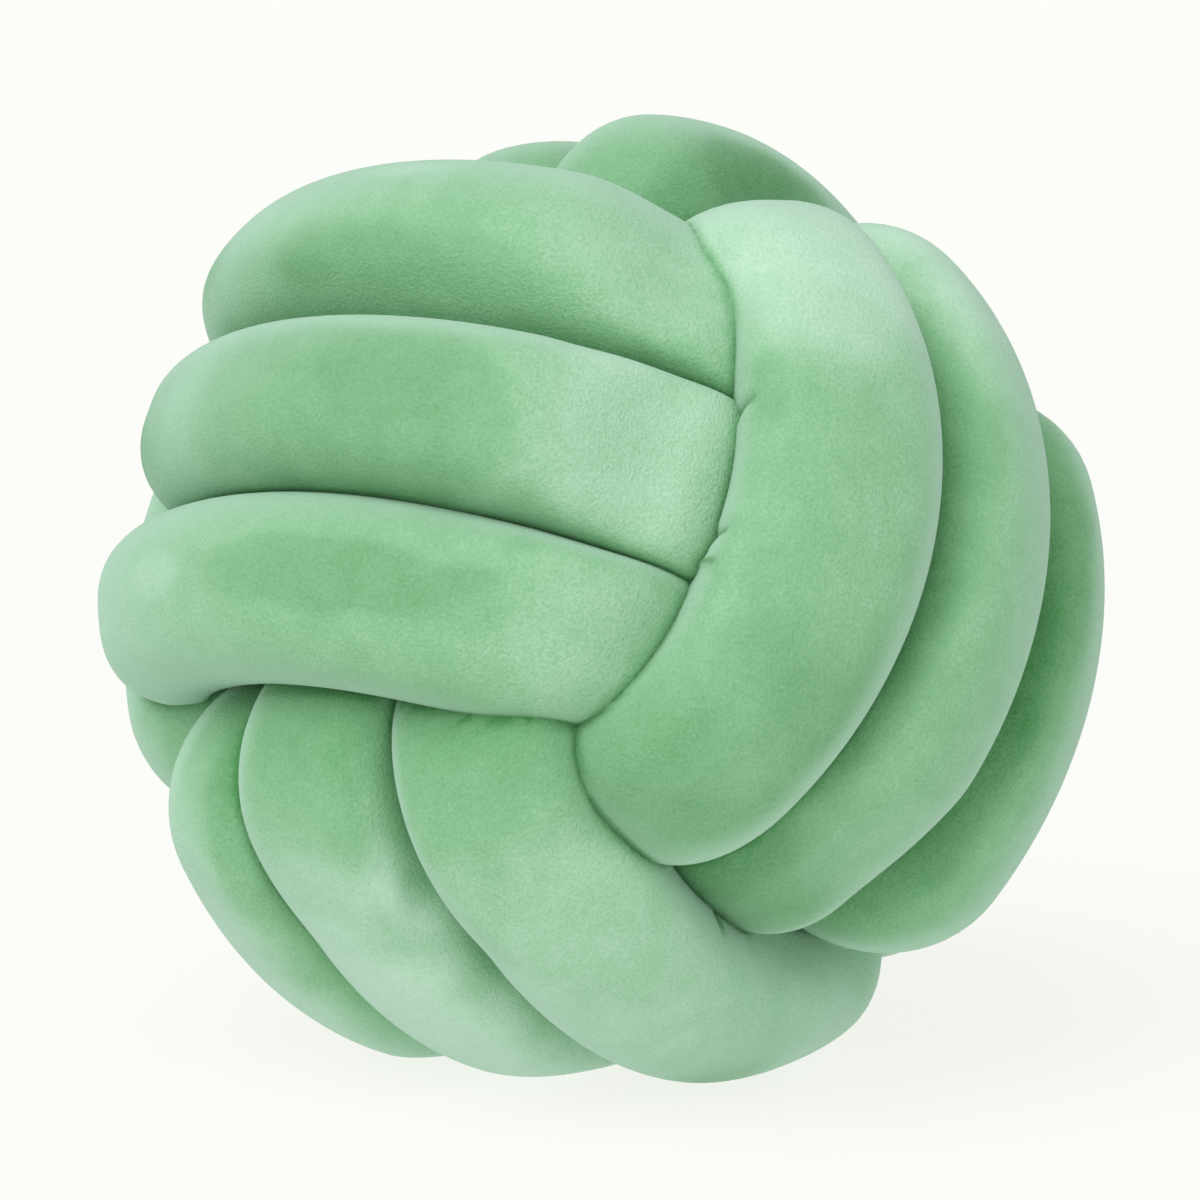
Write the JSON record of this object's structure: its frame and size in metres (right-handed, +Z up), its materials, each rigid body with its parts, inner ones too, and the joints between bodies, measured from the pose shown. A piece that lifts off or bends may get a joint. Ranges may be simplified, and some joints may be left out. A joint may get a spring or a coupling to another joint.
{
  "type": "knot cushion",
  "caption": "Ball-shaped cushion tied as a monkey's-fist knot from one long stuffed plush tube.",
  "frame": {"origin": "on the floor, in the flat spot below the knot's centre", "axes": "+Z up, +X to the right and +Y away from the viewer as pictured"},
  "size_m": [0.295, 0.2974, 0.2829],
  "materials": {
    "plush": "short-pile plush, brushed light and dark"
  },
  "bodies": {
    "root": {"knot_cushion": "plush"}
  },
  "joints": []
}
